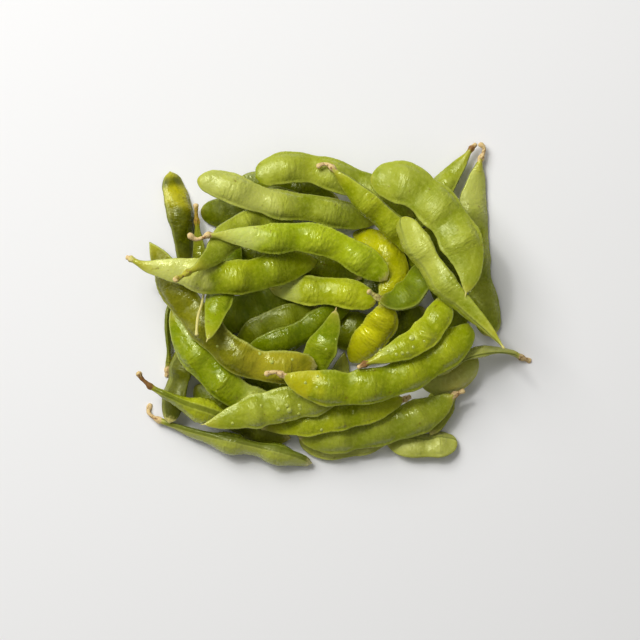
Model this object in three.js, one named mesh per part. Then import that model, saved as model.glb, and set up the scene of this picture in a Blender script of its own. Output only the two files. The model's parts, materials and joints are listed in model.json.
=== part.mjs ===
// A bundle of edamame pods: 46 whole boiled soybean pods heaped loosely on a flat surface.
//
// Millimetres, +Z up. Each pod grew as one piece, with its pedicel, calyx and beak, so each pod is
// one closed solid. The pods are laid one after another, from the bottom of the heap to its top.
// A pod keeps its route as seen from above, and sinks until it rests on what lies below it.

import * as THREE from "three";

// ---------------------------------------------------------------- driving dimensions

const SIDES = 10; // corners of a pod's cross-section, two of them on the sutures
const RING_STEP = 4.2; // between cross-sections along a pod
const SUTURE_POINT = 1.3; // 1 is an ellipse; more draws the section to an edge at the sutures

const WAIST_WIDTH = 0.88; // between two beans, as a share of the width over a bean
const WAIST_THICKNESS = 0.64;
const BLUNT_END = 5; // an end that narrows over this length is as round as a half ellipse
const SLIM_END = 24; // one that narrows over this length is drawn out like a lance

const PEDICEL_RADIUS = 0.75;
const CALYX_RADIUS = 1.25; // the dried cup where the pedicel meets the pod
const CALYX_LENGTH = 2.2;
const NECK_RADIUS = 1.1; // a pod with a calyx is no slimmer than this beside it
const NECK_LENGTH = 6;
const BEAK_RADIUS = 0.45;
const END_ROUNDING = 0.35; // how far a cut end's or a beak's middle stands out

const REST_GAP = 0.2; // kept between a pod and those below it
const FLAT_DEPTH = 0.6; // how much of a pod's underside is pressed flat where it meets the surface
const DROOPS = [0, 0.003, 0.006, 0.009, 0.012]; // per mm: how much a pod may arch to lie lower

const RELIEF_CELL = 0.5; // the heap's top is kept as one height for each square of this size
const RELIEF_REACH = 84; // the squares cover this far each way from the middle

// ---------------------------------------------------------------- finishes

const FINISHES = {
  fresh: { color: 0x9dae35, roughness: 0.34 },
  bright: { color: 0x83a020, roughness: 0.3 },
  deep: { color: 0x5f7a1c, roughness: 0.4 },
  olive: { color: 0x7d7d1e, roughness: 0.36 },
  golden: { color: 0xa8a51c, roughness: 0.28 },
};

// ---------------------------------------------------------------- the pods
//
// In laying order, the lowest first. For each pod:
//   size    greatest width from suture to suture, and greatest thickness over a bean
//   beans   how many seeds swell it
//   roll    degrees that its flat side turns from lying level; near 90 it lies on a suture
//   ends    how long the narrowing at the calyx and at the tip is
//   stalk   where the pedicel runs, from its cut end, or nothing where it has broken off
//   body    where the pod runs, from calyx to tip

const PODS = [
  // On the surface, round the edge of the heap and deep inside it.
  { finish: "deep", size: [7, 3.2], beans: 3, roll: 70, ends: [12, 9],
    stalk: [[-60, -26], [-59.5, -24.5]],
    body: [[-59.5, -23.5], [-58.5, -16], [-59, -9], [-58.5, -2], [-57.5, 4]] },
  { finish: "deep", size: [11, 6], beans: 2, roll: 10, ends: [8, 12],
    body: [[-34, 45], [-22, 43], [-11, 40.5], [3, 38]] },
  { finish: "deep", size: [11, 7], beans: 3, roll: 5, ends: [6, 12],
    body: [[-47.5, 34], [-36.5, 33.5], [-29, 35.5], [-20, 37.5], [-9, 38]] },
  { finish: "deep", size: [14, 6.5], beans: 3, roll: -8, ends: [10, 12],
    body: [[-46, -6.5], [-38, -4.3], [-31, -2], [-23, 1], [-14, 4.5], [-8, 6]] },
  { finish: "deep", size: [14, 6], beans: 2, roll: 14, ends: [9, 12],
    body: [[-33, -19], [-28, -12.8], [-21.5, -8], [-13, -5.2], [-4, -1.2]] },
  { finish: "deep", size: [15.5, 6], beans: 3, roll: 6, ends: [8, 7],
    body: [[-2.5, -7.5], [7, -9.6], [17.5, -10], [27, -7.4], [36, -3.4]] },
  { finish: "deep", size: [10.5, 6], beans: 3, roll: 12, ends: [7, 11],
    body: [[-49.5, -29.5], [-44, -34.5], [-37.5, -38.8], [-31, -43.3], [-24.5, -46.6], [-15, -48.4]] },
  { finish: "deep", size: [12, 6], beans: 2, roll: -8, ends: [8, 10],
    body: [[9, 6.5], [16.5, 7.2], [23.5, 10.5], [29, 16], [32, 22]] },
  { finish: "deep", size: [10.5, 5.5], beans: 2, roll: 10, ends: [7, 9],
    body: [[-33, -28.5], [-26, -29.6], [-19, -31], [-11.5, -33.5]] },
  { finish: "fresh", size: [10.6, 6.8], beans: 2, roll: 28, ends: [5, 8],
    body: [[46, -50], [35.5, -51], [28, -50.8], [20, -49.5]] },
  { finish: "olive", size: [10.5, 6], beans: 2, roll: -8, ends: [7, 9],
    body: [[-11.5, -48.5], [-1.5, -51.3], [8, -50.4], [16, -48.2], [23, -45.8]] },
  { finish: "deep", size: [11, 6], beans: 2, roll: 15, ends: [7, 10],
    body: [[45, -18], [42.5, -28.5], [40, -35.5], [38, -42], [36.2, -47]] },
  { finish: "deep", size: [11, 8], beans: 2, roll: 65, ends: [30, 7],
    stalk: [[-65.8, -36.2], [-66.6, -38.4], [-65.4, -40.4], [-63.3, -41.4]],
    body: [[-62.3, -41.9], [-56.8, -43.9], [-50.2, -46.4], [-40, -49.4], [-29, -51.8], [-18.5, -54.4],
      [-7.2, -57.4]] },
  { finish: "deep", size: [11, 6], beans: 2, roll: 38, ends: [8, 6],
    body: [[-52.6, -13], [-53.8, -20], [-55.4, -28], [-57.2, -35], [-58.6, -42.6]] },
  { finish: "deep", size: [13.5, 6], beans: 3, roll: -10, ends: [9, 9],
    body: [[33.5, 28], [37.5, 20], [41, 10.5], [43.5, 0], [45, -12]] },
  { finish: "olive", size: [10.5, 7.5], beans: 1, roll: 30, ends: [24, 7],
    body: [[-53, 8], [-53.5, 15.5], [-53.5, 25], [-55, 34], [-57, 41.5], [-58.6, 48.4]] },
  { finish: "olive", size: [5.6, 3.6], beans: 1, roll: 20, ends: [14, 8],
    stalk: [[-49, 36.5], [-48.8, 31.5]],
    body: [[-48.6, 30], [-48, 21.6], [-47.4, 13.5], [-46.8, 5.5]] },
  { finish: "bright", size: [11.5, 7], beans: 3, roll: -22, ends: [18, 6],
    stalk: [[54, 58.6], [55.6, 57], [55, 54]],
    body: [[54.4, 53], [52.8, 45], [51.4, 36], [52.4, 27], [52.6, 18], [53.2, 11], [56, 0],
      [58, -11.5]] },
  { finish: "bright", size: [9.5, 6.5], beans: 2, roll: 20, ends: [20, 10],
    stalk: [[52.6, 58.4], [51.6, 57.4]],
    body: [[51, 56.7], [47.6, 52], [43.5, 47], [39.4, 41.5], [32, 32.5], [26.5, 25]] },
  { finish: "deep", size: [11, 6], beans: 2, roll: 5, ends: [8, 10],
    body: [[-39.5, 16.5], [-31, 18.5], [-22.5, 17.5], [-11, 16], [0, 13], [11, 9.5]] },

  // The middle of the heap.
  { finish: "bright", size: [12, 9.5], beans: 1, roll: 80, ends: [18, 14],
    stalk: [[-68.8, -24.1], [-68, -25.8], [-66.8, -27.1], [-65, -28.8]],
    body: [[-64.4, -29.3], [-58, -33], [-51, -36.5], [-43.5, -39], [-36, -41.5], [-29, -43]] },
  { finish: "bright", size: [12.8, 7.5], beans: 3, roll: 18, ends: [20, 12],
    body: [[-57.6, -1], [-56.2, -5.5], [-51.6, -14.3], [-43.5, -24], [-33, -32.5], [-22, -38],
      [-13, -40.5]] },
  { finish: "bright", size: [10.5, 6.5], beans: 2, roll: 24, ends: [9, 11],
    body: [[-30.5, -17], [-23.5, -14.8], [-15, -12], [-7.5, -8.3], [-0.5, -3.6], [7.5, 1]] },
  { finish: "fresh", size: [10.5, 6], beans: 2, roll: -20, ends: [15, 11],
    body: [[4.8, -17.2], [4.2, -20.8], [2.8, -26], [0, -31.5], [-4.5, -38]] },
  { finish: "golden", size: [11.5, 7], beans: 2, roll: -24, ends: [9, 10],
    body: [[8, 26], [16.5, 22.3], [21, 18.8], [23.2, 14], [22.8, 8], [21, 1.5], [18.5, -4.5]] },
  { finish: "bright", size: [11.2, 7], beans: 2, roll: 4, ends: [7, 15],
    body: [[16, 0.5], [7, 3.8], [-4, 5], [-15, 5.4], [-23.3, 6.5]] },
  { finish: "golden", size: [13, 8], beans: 2, roll: 12, ends: [9, 8],
    body: [[6.8, -20.6], [10.2, -16.6], [13.5, -12.8], [16.6, -9], [18.8, -4.8], [19.8, 0.8]] },
  { finish: "deep", size: [10.5, 7], beans: 2, roll: -18, ends: [9, 9],
    body: [[52.5, -18], [48.5, -23.8], [43, -27.3], [37, -28], [31.5, -26]] },
  { finish: "bright", size: [13.5, 8], beans: 3, roll: -8, ends: [15, 12],
    stalk: [[48, -31], [45.5, -32]],
    body: [[44.5, -32.6], [35.5, -38.5], [24.8, -42.8], [10.5, -46], [-2, -47.8], [-12, -47.2]] },
  { finish: "bright", size: [8, 4.4], beans: 2, roll: 74, ends: [15, 10],
    stalk: [[72.7, -20.4], [70.5, -19.6]],
    body: [[69, -19], [64.5, -16.9], [57, -16.4], [50, -17.8], [46, -19.8], [39, -23.5], [30, -27.5]] },
  { finish: "bright", size: [11.8, 6.5], beans: 2, roll: -12, ends: [9, 18],
    body: [[-12.5, -36.5], [-10.4, -31], [-7.8, -25], [-5, -19], [-2.2, -13], [0.4, -7.2],
      [1.8, -1.1]] },

  // Over them.
  { finish: "olive", size: [12.8, 7.5], beans: 4, roll: 14, ends: [19, 6],
    body: [[-65.8, 22.8], [-60.6, 14.5], [-55.5, 5.3], [-49.4, -2.8], [-43.2, -9.8], [-36.3, -16.6],
      [-28, -21], [-17, -22.5], [-5.2, -22]] },
  { finish: "deep", size: [12, 7], beans: 2, roll: -30, ends: [12, 9],
    stalk: [[13, 4.8], [15.2, 3.4]],
    body: [[16.5, 2.5], [20.5, 1.6], [25, 2.4], [29.8, 6], [33, 11.5], [34, 17]] },
  { finish: "bright", size: [11.5, 7.5], beans: 3, roll: 8, ends: [14, 20],
    stalk: [[28.5, -33], [27.2, -33.6]],
    body: [[26.5, -33.9], [20.5, -35.3], [7, -39], [-4, -41.2], [-15, -43.2], [-25, -44.8]] },
  { finish: "fresh", size: [10.5, 7], beans: 2, roll: 8, ends: [8, 18],
    body: [[-34.5, 23.5], [-37.5, 13.3], [-39.5, 3.6], [-41.4, -3.6], [-42.5, -9], [-44, -13]] },
  { finish: "fresh", size: [13.2, 8], beans: 3, roll: 6, ends: [32, 14],
    stalk: [[-72.7, 16.8], [-71.4, 16.4]],
    body: [[-71, 16.2], [-65.2, 13.5], [-54.4, 12.1], [-41.8, 9.7], [-29.2, 10.2], [-17.8, 13.5],
      [-4.5, 16]] },
  { finish: "fresh", size: [12, 7], beans: 3, roll: 22, ends: [22, 11],
    stalk: [[-55, 8.4], [-51.5, 10.5]],
    body: [[-50.3, 11.3], [-45.8, 14], [-41.6, 17.6], [-38.2, 22], [-34.2, 26.2], [-28, 28.6],
      [-20, 28], [-10, 25.2]] },
  { finish: "fresh", size: [11.2, 7.5], beans: 3, roll: -6, ends: [8, 12],
    body: [[-47.8, 44.4], [-38, 42.5], [-27.4, 38.2], [-16.6, 35.6], [-7.5, 34.9], [1.5, 33],
      [12, 31.3], [17, 30.3]] },
  { finish: "fresh", size: [12, 7.5], beans: 3, roll: 8, ends: [12, 6],
    body: [[30, 32], [24.8, 34.2], [14, 41.4], [5, 45], [-6, 48.6], [-16.6, 49], [-27, 45.6]] },

  // The crown.
  { finish: "fresh", size: [13.5, 8], beans: 3, roll: -6, ends: [9, 24],
    body: [[3.5, -31], [-2.2, -32.4], [-13, -34.9], [-23.8, -37.2], [-32.8, -39.7], [-41.6, -42.2],
      [-46.4, -42.9]] },
  { finish: "golden", size: [13.4, 8], beans: 4, roll: 6, ends: [16, 9],
    stalk: [[-23.4, -24.6], [-20.2, -23.8], [-18, -24.5]],
    body: [[-17.3, -24.8], [-11.2, -27.4], [-0.4, -29.6], [10.4, -29.3], [21.2, -27.2], [31.6, -22.6],
      [40.4, -16.8], [46.8, -11], [49, -6.8]] },
  { finish: "bright", size: [11, 7.5], beans: 3, roll: -8, ends: [22, 9],
    stalk: [[9.5, -22.3], [11.6, -21.2]],
    body: [[12.2, -20.9], [19.4, -18], [28.4, -14], [34.6, -9.2], [38.6, -3.2], [40.4, 3.4]] },
  { finish: "bright", size: [11.5, 8], beans: 3, roll: 6, ends: [26, 8],
    stalk: [[-50.3, 24.8], [-48.5, 23.2], [-46, 23.2], [-44, 24.5]],
    body: [[-43, 24.6], [-32.8, 24.1], [-22, 23.4], [-11.2, 24.1], [-2.2, 22.6], [7, 18.4],
      [15.7, 13], [20, 9]] },
  { finish: "fresh", size: [10.8, 6.5], beans: 2, roll: 38, ends: [20, 10],
    stalk: [[-5, 49.3], [-2.4, 50.4], [-0.3, 49.4]],
    body: [[0.4, 48.8], [6, 43], [12, 37.2], [18.6, 31.5], [24.8, 25.5], [29.5, 18]] },
  { finish: "fresh", size: [12.2, 7.8], beans: 2, roll: 38, ends: [6, 38],
    body: [[25.4, 31.3], [27.2, 27.3], [31, 20.7], [35.6, 13.4], [40.8, 6],
      [46.6, 0.2], [52.2, -5.4], [57.2, -10.8], [60.8, -15.4]] },
  { finish: "fresh", size: [16.2, 8.5], beans: 3, roll: -8, ends: [8, 22],
    body: [[14, 45], [26, 43.2], [33, 38.8], [39.7, 32.2], [44.7, 24.6], [47.9, 17], [48.7, 10],
      [47.2, 3]] },
];

// ---------------------------------------------------------------- a pod's shape

// From 0 at an end to 1 where the pod has its full width. A short end is blunt, a long one slim.
function endShape(distance, length) {
  const share = THREE.MathUtils.clamp(distance / length, 0, 1);
  const slimness = THREE.MathUtils.mapLinear(length, BLUNT_END, SLIM_END, 0.5, 1);
  return Math.pow(1 - (1 - share) ** 2, THREE.MathUtils.clamp(slimness, 0.5, 1));
}

// From 0 between two beans to 1 over a bean. The beans share out the wide part of the pod.
function beanSwell(distance, pod, length) {
  const first = pod.ends[0] * 0.6;
  const last = length - pod.ends[1] * 0.6;
  const place = (distance - first) / (last - first);
  if (place <= 0 || place >= 1) {
    return 0;
  }
  return Math.sin(Math.PI * pod.beans * place) ** 2;
}

// Half the width and half the thickness of the body, a distance from the calyx.
function bodyHalves(distance, pod, length) {
  const end = endShape(distance, pod.ends[0]) * endShape(length - distance, pod.ends[1]);
  const swell = beanSwell(distance, pod, length);
  const width = 0.5 * pod.size[0] * end * THREE.MathUtils.lerp(WAIST_WIDTH, 1, swell);
  const thickness = 0.5 * pod.size[1] * end * THREE.MathUtils.lerp(WAIST_THICKNESS, 1, swell);
  const least = pod.stalk && distance < NECK_LENGTH ? NECK_RADIUS : BEAK_RADIUS;
  return [Math.max(width, least), Math.max(thickness, least)];
}

// The cross-sections along the pedicel, from its cut end to the calyx.
function stalkRings(stalkLength) {
  const shaft = Math.max(stalkLength - CALYX_LENGTH, 0.5);
  const steps = Math.max(1, Math.round(shaft / 2.5));
  const rings = [];
  for (let i = 0; i <= steps; i++) {
    rings.push({ along: (shaft * i) / steps, halves: [PEDICEL_RADIUS, PEDICEL_RADIUS] });
  }
  rings.push({ along: stalkLength, halves: [CALYX_RADIUS, CALYX_RADIUS] });
  return rings;
}

// The cross-sections along the body, closer together where an end narrows fast.
function bodyRings(pod, stalkLength, length) {
  const places = [0.8, 2.6];
  const steps = Math.round((length - 6) / RING_STEP);
  for (let i = 1; i < steps; i++) {
    places.push(2.6 + ((length - 5.6) * i) / steps);
  }
  places.push(length - 3, length - 1.1, length);
  return places.map((place) => ({
    along: stalkLength + place,
    halves: bodyHalves(place, pod, length),
  }));
}

// One corner of a cross-section: how far it is to the side and how far up.
function sectionCorner(index, halves, roll) {
  const angle = (2 * Math.PI * index) / SIDES;
  const rise = Math.abs(Math.sin(angle)) ** SUTURE_POINT;
  const wide = halves[0] * Math.cos(angle);
  const thick = halves[1] * Math.sign(Math.sin(angle)) * rise;
  return [
    wide * Math.cos(roll) - thick * Math.sin(roll),
    wide * Math.sin(roll) + thick * Math.cos(roll),
  ];
}

function lengthOf(points) {
  let total = 0;
  for (let i = 1; i < points.length; i++) {
    total += points[i].distanceTo(points[i - 1]);
  }
  return total;
}

// The pod as if it lay level, with its spine at height 0: a list of rings of corners.
function levelRings(pod) {
  const stalk = (pod.stalk ?? []).map(([x, y]) => new THREE.Vector2(x, y));
  const body = pod.body.map(([x, y]) => new THREE.Vector2(x, y));
  const spine = new THREE.SplineCurve([...stalk, ...body]);
  const total = spine.getLength();
  const stalkShare = stalk.length ? lengthOf([...stalk, body[0]]) / lengthOf(spine.points) : 0;
  const stalkLength = total * stalkShare;
  const roll = THREE.MathUtils.degToRad(pod.roll);
  const rings = [
    ...(stalk.length ? stalkRings(stalkLength) : []),
    ...bodyRings(pod, stalkLength, total - stalkLength),
  ];
  return rings.map(({ along, halves }) => {
    const share = Math.min(along / total, 1);
    const centre = spine.getPointAt(share);
    const ahead = spine.getTangentAt(share);
    const corners = Array.from({ length: SIDES }, (_, index) => {
      const [side, up] = sectionCorner(index, halves, roll);
      return new THREE.Vector3(centre.x - ahead.y * side, centre.y + ahead.x * side, up);
    });
    return { along, centre, ahead, corners, area: halves[0] * halves[1] };
  });
}

// ---------------------------------------------------------------- laying the pods down

// The heap's top as laid so far. Before any pod it is the surface, which flattens what meets it.
class Relief {
  constructor() {
    this.rows = Math.ceil((2 * RELIEF_REACH) / RELIEF_CELL);
    this.heights = new Float32Array(this.rows * this.rows).fill(-FLAT_DEPTH - REST_GAP);
  }

  cell(value) {
    return Math.floor((value + RELIEF_REACH) / RELIEF_CELL);
  }

  // The highest point in the square under a place and in the eight round it.
  topNear(x, y) {
    let top = -Infinity;
    for (let row = this.cell(y) - 1; row <= this.cell(y) + 1; row++) {
      for (let column = this.cell(x) - 1; column <= this.cell(x) + 1; column++) {
        top = Math.max(top, this.heights[row * this.rows + column]);
      }
    }
    return top;
  }

  raise(x, y, height) {
    const index = this.cell(y) * this.rows + this.cell(x);
    this.heights[index] = Math.max(this.heights[index], height);
  }
}

// Points all over the facets of a level pod, each with its distance along the spine.
function skinPoints(rings) {
  const points = [];
  for (let r = 1; r < rings.length; r++) {
    const steps = Math.max(1, Math.ceil((rings[r].along - rings[r - 1].along) / RELIEF_CELL));
    for (let step = 0; step <= steps; step++) {
      const share = step / steps;
      const along = THREE.MathUtils.lerp(rings[r - 1].along, rings[r].along, share);
      const before = rings[r - 1].corners;
      const corners = rings[r].corners.map((corner, i) => before[i].clone().lerp(corner, share));
      corners.forEach((corner, i) => {
        const next = corners[(i + 1) % SIDES];
        const cuts = Math.max(1, Math.ceil(corner.distanceTo(next) / RELIEF_CELL));
        for (let cut = 0; cut < cuts; cut++) {
          points.push({ along, at: corner.clone().lerp(next, cut / cuts) });
        }
      });
    }
  }
  return points;
}

// How high the spine must be at each distance along it to clear what lies below.
function clearances(skin, relief) {
  const needs = new Map();
  for (const { along, at } of skin) {
    const need = relief.topNear(at.x, at.y) + REST_GAP - at.z;
    needs.set(along, Math.max(need, needs.get(along) ?? -Infinity));
  }
  return [...needs].map(([along, height]) => ({ along, height }));
}

// The lowest line above all the clearances: it rests on one point each side of the pod's balance.
function restingLine(needs, balance) {
  let rest = { height: -Infinity, slope: 0 };
  for (const near of needs.filter(({ along }) => along <= balance)) {
    for (const far of needs.filter(({ along }) => along > balance)) {
      const slope = (far.height - near.height) / (far.along - near.along);
      const height = near.height + slope * (balance - near.along);
      if (height > rest.height) {
        rest = { height, slope };
      }
    }
  }
  return rest;
}

// The height of a pod's spine along it, once the pod has come to rest on the relief.
function restingHeights(rings, skin, relief) {
  const weight = rings.reduce((sum, ring) => sum + ring.area, 0);
  const balance = rings.reduce((sum, ring) => sum + ring.area * ring.along, 0) / weight;
  const needs = clearances(skin, relief);
  let lowest = { mean: Infinity };
  for (const droop of DROOPS) {
    const arch = (along) => 0.5 * droop * (along - balance) ** 2;
    const straight = needs.map(({ along, height }) => ({ along, height: height + arch(along) }));
    const { height, slope } = restingLine(straight, balance);
    const at = (along) => height + slope * (along - balance) - arch(along);
    const mean = rings.reduce((sum, ring) => sum + ring.area * at(ring.along), 0) / weight;
    if (mean < lowest.mean) {
      lowest = { at, mean };
    }
  }
  return lowest.at;
}

// ---------------------------------------------------------------- solids

// A closed mesh through the rings, each end closed on a point at its middle.
function loft(rings) {
  const positions = [];
  const faces = [];
  const last = (rings.length - 1) * SIDES;
  const middle = (ring, outward) => {
    const sum = ring.corners.reduce((total, corner) => total.add(corner), new THREE.Vector3());
    const centre = sum.divideScalar(SIDES);
    return [centre.x + outward * ring.ahead.x, centre.y + outward * ring.ahead.y, centre.z];
  };
  rings.forEach((ring) => ring.corners.forEach((corner) => positions.push(...corner.toArray())));
  const rounding = rings[0].along || END_ROUNDING;
  positions.push(...middle(rings[0], -rounding), ...middle(rings.at(-1), END_ROUNDING));
  for (let i = 0; i < SIDES; i++) {
    const next = (i + 1) % SIDES;
    for (let base = 0; base < last; base += SIDES) {
      faces.push(base + i, base + next, base + SIDES + i);
      faces.push(base + next, base + SIDES + next, base + SIDES + i);
    }
    faces.push(last + SIDES, next, i);
    faces.push(last + SIDES + 1, last + i, last + next);
  }
  const geometry = new THREE.BufferGeometry();
  geometry.setAttribute("position", new THREE.Float32BufferAttribute(positions, 3));
  geometry.setIndex(faces);
  geometry.computeVertexNormals();
  return geometry;
}

// Lays one pod on the relief, adds it to the relief and gives its mesh.
function layPod(pod, relief) {
  const rings = levelRings(pod);
  const skin = skinPoints(rings);
  const heightAt = restingHeights(rings, skin, relief);
  for (const { along, at } of skin) {
    relief.raise(at.x, at.y, Math.max(at.z + heightAt(along), 0));
  }
  for (const ring of rings) {
    for (const corner of ring.corners) {
      corner.z = Math.max(corner.z + heightAt(ring.along), 0);
    }
  }
  const material = new THREE.MeshStandardMaterial({ ...FINISHES[pod.finish], metalness: 0 });
  const mesh = new THREE.Mesh(loft(rings), material);
  return mesh;
}

// The whole heap, shifted so that the middle of its footprint is the origin.
function layBundle() {
  const group = new THREE.Group();
  const relief = new Relief();
  PODS.forEach((pod, index) => {
    const mesh = layPod(pod, relief);
    mesh.name = `pod_${String(index + 1).padStart(2, "0")}`;
    group.add(mesh);
  });
  const middle = new THREE.Box3().setFromObject(group).getCenter(new THREE.Vector3());
  group.position.set(-middle.x, -middle.y, 0);
  return group;
}

export default layBundle();
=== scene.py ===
"""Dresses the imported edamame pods: a finer, living skin over each solid, and water drops on them.

Lengths are in metres, unless a name ends in _MM or a comment says mm. A pod's solid is a loft
through ten-sided cross-sections. Its line, widths and turn are read back from the solid, and the
skin is a much finer loft on the same line, with bean domes, suture ridges, a ragged calyx and
wrinkles.
"""

import json
import math

import bpy
import numpy as np
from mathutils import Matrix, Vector


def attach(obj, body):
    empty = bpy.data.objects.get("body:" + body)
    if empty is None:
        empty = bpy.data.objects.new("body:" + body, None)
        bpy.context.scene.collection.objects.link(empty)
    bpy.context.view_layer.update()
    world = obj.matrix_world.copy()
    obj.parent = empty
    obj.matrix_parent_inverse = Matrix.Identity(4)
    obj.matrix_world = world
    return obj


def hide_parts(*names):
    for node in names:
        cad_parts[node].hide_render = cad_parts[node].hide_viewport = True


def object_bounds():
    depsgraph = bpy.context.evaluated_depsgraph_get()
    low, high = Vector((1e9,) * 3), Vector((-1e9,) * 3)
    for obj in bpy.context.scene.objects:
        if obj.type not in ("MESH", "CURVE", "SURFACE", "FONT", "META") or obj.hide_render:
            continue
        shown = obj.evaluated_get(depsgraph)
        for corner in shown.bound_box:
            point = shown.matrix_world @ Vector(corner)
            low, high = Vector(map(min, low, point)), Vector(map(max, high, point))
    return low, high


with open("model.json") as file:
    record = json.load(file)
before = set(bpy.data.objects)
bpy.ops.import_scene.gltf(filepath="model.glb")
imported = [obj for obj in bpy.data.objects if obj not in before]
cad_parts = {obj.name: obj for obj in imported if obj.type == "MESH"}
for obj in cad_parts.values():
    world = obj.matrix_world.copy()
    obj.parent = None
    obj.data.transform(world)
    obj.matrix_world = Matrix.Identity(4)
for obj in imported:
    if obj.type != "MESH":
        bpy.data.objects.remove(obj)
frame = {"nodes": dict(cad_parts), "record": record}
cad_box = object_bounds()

MM = 0.001

# ---------------------------------------------------------------- the solids' cross-sections

SIDES = 10  # corners of a cross-section in the solids, two of them on the sutures
SUTURE_POINT = 1.3  # the solids' section is an ellipse with its height drawn in by this power
# How high a section's highest corner lies, as a share of its ellipse's half thickness.
TOP_CORNER = math.sin(0.4 * math.pi) ** SUTURE_POINT
WAIST_RATIO = 0.64 / 0.88  # thickness to width between two beans, against the same over a bean
PEDICEL_LIMIT = 0.9 * MM  # a cross-section slimmer than this at the stem end is the pedicel's
HULL_LIMIT = 1.6 * MM  # one wider than this holds the hull, where beans can swell it
LEVEL_MARGIN = 0.01 * MM  # a corner this far under a section's middle still counts as level with it

# ---------------------------------------------------------------- the finer skin

# A pair named a fade or a room: its effect starts at the first value and is whole at the second.

STEP = 0.43 * MM  # between cross-sections of the skin
CAP_STEPS = (0.02, 0.1, 0.25, 0.5)  # shares of a step where the round ends get more sections
AROUND = 60  # corners of a cross-section of the skin
FULLNESS = 0.98  # the skin's half widths as a share of the solid's
LEAST_SQUARE = 1e-12  # of a half width, in square metres, where the curve of them dips below 0
HULL_FADE = (0.5 * MM, 3 * MM)  # past the calyx

WAIST_DEPTH = 0.2  # how much thinner than its solid the skin is between two beans, as a share
WAIST_FADE = (1 * MM, 4 * MM)  # by the pod's half width
DOME_REACH = 0.82  # share of the half width that a bean's dome covers
DOME_POWER = 0.66  # the lower it is, the squarer the dome
MARGIN = 0.22  # thickness of the flat margin beside the dome, as a share
MARGIN_POWER = 0.7  # the lower it is, the blunter the margin's edge
TURNED_MARGIN = 0.5  # added where the pod lies on its suture, and is seen from its full side
BEAK_FADE = (2.6 * MM, 1.04 * MM)  # from a pointed tip, which is drawn out to a thread
BEAK_SHARE = 0.6  # how much slimmer than its solid the beak gets

RIDGE_HEIGHT = 0.2 * MM  # each suture is two fine ridges with a groove between them
RIDGE_FADE = (0.8 * MM, 0.24 * MM)  # from the edge of the suture's dark strip
GROOVE_DEPTH = 0.18 * MM
GROOVE_FADE = (0.24 * MM, -0.2 * MM)  # from there too
SUTURE_ROOM = (1 * MM, 3 * MM)  # half widths over which a suture's relief comes in
LUMP_SIZE = 8 * MM  # slow unevenness of the hull
LUMP_HEIGHT = 0.13 * MM
PUCKER_SIZE = 3 * MM
PUCKER_HEIGHT = 0.05 * MM
WRINKLE_SIZE = 1.6 * MM  # fine wrinkles that run aslant over the beans
WRINKLE_HEIGHT = 0.065 * MM
WRINKLE_HEADING = math.radians(-28)  # the way across the wrinkles, from the pod's own line
WRINKLE_SPREAD = math.radians(14)
WRINKLES_BESIDE = 0.25  # share of their height that wrinkles keep beside the beans
UNEVEN_ROOM = (0.3 * MM, 2 * MM)  # half thicknesses over which lumps and wrinkles come in
CENTRE_REACH = 0.05 * MM  # within this of the pod's line, relief sinks to nothing

CALYX_LOBES = 5
CALYX_REACH = 1.3 * MM
CALYX_RAGGEDNESS = 0.28 * MM
LOBE_SINK = 0.4  # share of the raggedness that lies under the smooth form, between the lobes
CUT_FLARE = 0.12 * MM  # how much the pedicel widens where it came off its branch
FLARE_FADE = (2 * MM, 0.4 * MM)  # from the cut end
KNOT_HEIGHT = 0.05 * MM
KNOT_SPACING = 1.9 * MM
KNOT_PHASE = 6  # radians, over which the knots' start is drawn
SHAFT_FADE = (-0.5 * MM, -1.5 * MM)  # past the calyx

# Where the materials' masks lie.
BEAN_POWER = 0.5  # how the bean's mask falls off round a section
SUTURE_FADE = (0.85 * MM, 0.15 * MM)  # from the edge of the suture's dark strip
DARK_FADE = (0.17 * MM, -0.15 * MM)  # from there too
SLIM_FADE = (3.6 * MM, 1.2 * MM)  # by the pod's half width
TIP_FADE = (3 * MM, 0.8 * MM)  # from the tip
STEM_FADE = (1.6 * MM, 0.4 * MM)  # past the calyx
CUT_FADE = (2.2 * MM, 0.6 * MM)  # from the cut end
SEAM_FADE = (-0.06, 0.06)  # by the sine of the angle from the seam
RAGGED_SIZE = 1.1 * MM  # the masks' ragged edges
RAGGED_REACH = 0.6 * MM
PATCH_FADE = 4.5 * MM  # the edge of a stain or of a painted sheen, each way
DRIFT_SIZE = 6 * MM  # the slow wander of that edge
DRIFT_REACH = 2 * MM

WAVES = 14  # plane waves that add up to a random form
WAVE_RANGE = (0.7, 1.4)  # how many lengths of a wave go into the form's size
# Added to a pod's own seed for its random forms, apart from its lumps.
WRINKLE_SEED = 100
RAGGED_SEED = 200
CALYX_SEED = 300
DRIFT_SEED = 400
PUCKER_SEED = 500


def rgb(red, green, blue):
    """A colour given as on a screen, in Blender's linear numbers, by the sRGB curve."""
    shares = (value / 255 for value in (red, green, blue))
    return tuple(v / 12.92 if v <= 0.04045 else ((v + 0.055) / 1.055) ** 2.4 for v in shares)


# Each finish of the record, as the skin's darkest, middle and palest colour.
FINISHES = {
    "pod_fresh": (rgb(126, 138, 18), rgb(154, 162, 38), rgb(182, 188, 80)),
    "pod_bright": (rgb(104, 124, 0), rgb(136, 150, 6), rgb(168, 174, 44)),
    "pod_deep": (rgb(82, 92, 0), rgb(106, 116, 2), rgb(134, 140, 22)),
    "pod_olive": (rgb(92, 94, 2), rgb(120, 120, 8), rgb(148, 146, 36)),
    "pod_golden": (rgb(148, 150, 0), rgb(176, 176, 0), rgb(204, 200, 36)),
}
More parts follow.
